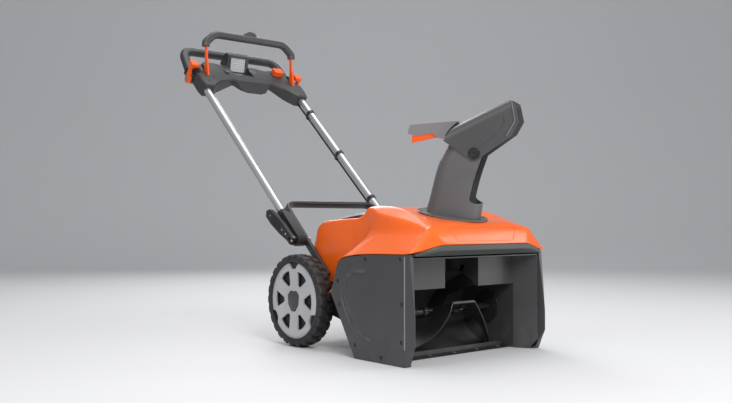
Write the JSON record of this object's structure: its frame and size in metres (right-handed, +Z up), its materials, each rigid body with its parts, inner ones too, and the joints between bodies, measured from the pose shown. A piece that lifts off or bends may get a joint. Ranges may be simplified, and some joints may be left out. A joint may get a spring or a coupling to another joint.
{
  "type": "single stage snowblower",
  "caption": "Walk-behind battery snowblower: rubber-bladed rotor in a flared housing, turning chute with tilting deflector, two wheels, folding tube handle with bail.",
  "frame": {"origin": "on the ground under the middle of the bounding box of the machine as shown", "axes": "+Z up; the intake faces -Y and the handle leans back towards +Y; +X is on the operator's left"},
  "size_m": [0.57, 1.4829, 1.132],
  "materials": {
    "hood_orange": "moulded, satin gloss",
    "side_cover": "moulded, fine grain",
    "housing": "moulded, fine grain",
    "black_plastic": "moulded, fine grain",
    "grey_trim": "moulded, satin",
    "lid": "moulded, fine grain",
    "steel": "plain",
    "painted_steel": "black coat",
    "belt_rubber": "ribbed",
    "blade_rubber": "smooth, lightly scuffed",
    "chute_grey": "moulded, satin",
    "chute_grip_grey": "moulded, satin",
    "orange_plastic": "moulded, satin gloss",
    "frame_paint": "satin black coat",
    "console_plastic": "moulded, fine grain",
    "lamp_lens": "frosted clear",
    "grip_plastic": "moulded, fine grain",
    "bail_grey": "moulded, satin",
    "cable_sheath": "smooth sheath",
    "battery_case": "moulded",
    "tyre": "treaded",
    "wheel_core": "moulded",
    "rim_silver": "silver coat on moulded plastic",
    "hub_cap": "moulded",
    "knuckle_plastic": "glass-filled, coarse grain",
    "tube_silver": "satin anodised"
  },
  "bodies": {
    "chassis": {"auger_housing": "housing", "belt_cover": "side_cover", "side_plate": "side_cover", "scraper_bar": "black_plastic", "rear_tray": "black_plastic", "hood": "hood_orange", "hood_trim": "grey_trim", "battery_bay": "black_plastic", "battery_pack_right": "battery_case", "battery_pack_left": "battery_case", "lid_hinge_pin": "steel", "motor": "steel", "controller": "black_plastic", "drive_belt": "belt_rubber", "auger_bearing_right": "steel", "auger_bearing_left": "steel", "chute_ring": "black_plastic", "wheel_axle": "steel", "frame_hoop": "frame_paint", "cable_flex": "cable_sheath"},
    "auger": {"auger_shaft": "painted_steel", "auger_blade_1": "blade_rubber", "auger_blade_2": "blade_rubber", "auger_pulley": "black_plastic"},
    "motor_pulley": {"drive_pulley": "steel"},
    "idler": {"belt_idler": "steel"},
    "wheel_right": {"tyre_right": "tyre", "wheel_core_right": "wheel_core", "rim_face_right": "rim_silver", "hub_cap_right": "hub_cap"},
    "wheel_left": {"tyre_left": "tyre", "wheel_core_left": "wheel_core", "rim_face_left": "rim_silver", "hub_cap_left": "hub_cap"},
    "chute": {"chute": "chute_grey"},
    "deflector": {"deflector": "chute_grey", "deflector_screw_right": "black_plastic", "deflector_screw_left": "black_plastic", "chute_grip": "chute_grip_grey"},
    "trigger": {"chute_trigger": "orange_plastic"},
    "lid": {"battery_lid": "lid"},
    "handle": {"console": "console_plastic", "lamp_lens": "lamp_lens", "handle_tube_right": "tube_silver", "handle_tube_left": "tube_silver", "fold_knuckle_right": "knuckle_plastic", "fold_knuckle_left": "knuckle_plastic", "fold_bolt_right": "steel", "fold_bolt_left": "steel", "control_cable": "cable_sheath"},
    "grip": {"grip_loop": "grip_plastic"},
    "cam_right": {"cam_lever_right": "knuckle_plastic"},
    "cam_left": {"cam_lever_left": "knuckle_plastic"},
    "lock_right": {"lock_lever_right": "orange_plastic"},
    "lock_left": {"lock_lever_left": "orange_plastic"},
    "bail": {"bail": "bail_grey", "bail_arm_right": "orange_plastic", "bail_arm_left": "orange_plastic"},
    "start_button": {"start_button": "orange_plastic"},
    "lamp_button": {"lamp_button": "grey_trim"}
  },
  "joints": [
    {"name": "auger_spin", "type": "hinge", "parent": "chassis", "child": "auger", "pos_m": [0, -0.4556, 0.12], "axis": [1, 0, 0], "continuous": true},
    {"name": "motor_spin", "type": "hinge", "parent": "chassis", "child": "motor_pulley", "pos_m": [-0.25, -0.3486, 0.243], "axis": [1, 0, 0], "continuous": true},
    {"name": "idler_spin", "type": "hinge", "parent": "chassis", "child": "idler", "pos_m": [-0.25, -0.3592, 0.15], "axis": [1, 0, 0], "continuous": true},
    {"name": "wheel_right_spin", "type": "hinge", "parent": "chassis", "child": "wheel_right", "pos_m": [-0.2565, -0.1106, 0.142], "axis": [1, 0, 0], "continuous": true},
    {"name": "wheel_left_spin", "type": "hinge", "parent": "chassis", "child": "wheel_left", "pos_m": [0.2565, -0.1106, 0.142], "axis": [1, 0, 0], "continuous": true},
    {"name": "chute_turn", "type": "hinge", "parent": "chassis", "child": "chute", "pos_m": [0, -0.5156, 0.402], "axis": [0, -0.1908, 0.9816], "range_deg": [-123, 57]},
    {"name": "deflector_tilt", "type": "hinge", "parent": "chute", "child": "deflector", "pos_m": [0.02723, -0.59378, 0.58443], "axis": [0.8387, 0.5346, 0.1039], "range_deg": [0, 30]},
    {"name": "trigger_squeeze", "type": "hinge", "parent": "deflector", "child": "trigger", "pos_m": [-0.03377, -0.50844, 0.6377], "axis": [0.8387, 0.5346, 0.1039], "range_deg": [0, 5], "stiffness_Nm_per_rad": 0.8, "springref_deg": -20.05},
    {"name": "lid_open", "type": "hinge", "parent": "chassis", "child": "lid", "pos_m": [0, -0.3416, 0.417], "axis": [1, 0, 0], "range_deg": [0, 75]},
    {"name": "handle_fold", "type": "hinge", "parent": "chassis", "child": "handle", "pos_m": [0, -0.0528, 0.32663], "axis": [1, 0, 0], "range_deg": [0, 115], "deforming": ["cable_flex"]},
    {"name": "cam_right_release", "type": "hinge", "parent": "handle", "child": "cam_right", "pos_m": [-0.244, -0.0528, 0.32663], "axis": [0, -0.5592, 0.829], "range_deg": [0, 95]},
    {"name": "cam_left_release", "type": "hinge", "parent": "handle", "child": "cam_left", "pos_m": [0.244, -0.0528, 0.32663], "axis": [0, 0.5592, -0.829], "range_deg": [0, 95]},
    {"name": "grip_tilt", "type": "hinge", "parent": "handle", "child": "grip", "pos_m": [0, 0.62544, 0.92628], "axis": [1, 0, 0], "range_deg": [-20, 0]},
    {"name": "lock_right_release", "type": "hinge", "parent": "handle", "child": "lock_right", "pos_m": [-0.246, 0.62544, 0.92628], "axis": [1, 0, 0], "range_deg": [-25, 0]},
    {"name": "lock_left_release", "type": "hinge", "parent": "handle", "child": "lock_left", "pos_m": [0.246, 0.62544, 0.92628], "axis": [1, 0, 0], "range_deg": [-25, 0]},
    {"name": "bail_squeeze", "type": "hinge", "parent": "handle", "child": "bail", "pos_m": [0, 0.57359, 0.94083], "axis": [1, 0, 0], "range_deg": [-32, 0], "stiffness_Nm_per_rad": 1, "springref_deg": 28.65},
    {"name": "start_press", "type": "slide", "parent": "handle", "child": "start_button", "axis": [0, 0.682, -0.7314], "range_m": [0, 0.003], "stiffness_N_per_m": 300, "springref_m": -0.002},
    {"name": "lamp_press", "type": "slide", "parent": "handle", "child": "lamp_button", "axis": [0, 0.682, -0.7314], "range_m": [0, 0.003], "stiffness_N_per_m": 300, "springref_m": -0.002}
  ],
  "couplings": [
    {"joint": "motor_spin", "follows": "auger_spin", "ratio": 3.8667},
    {"joint": "idler_spin", "follows": "auger_spin", "ratio": -4.4615}
  ]
}
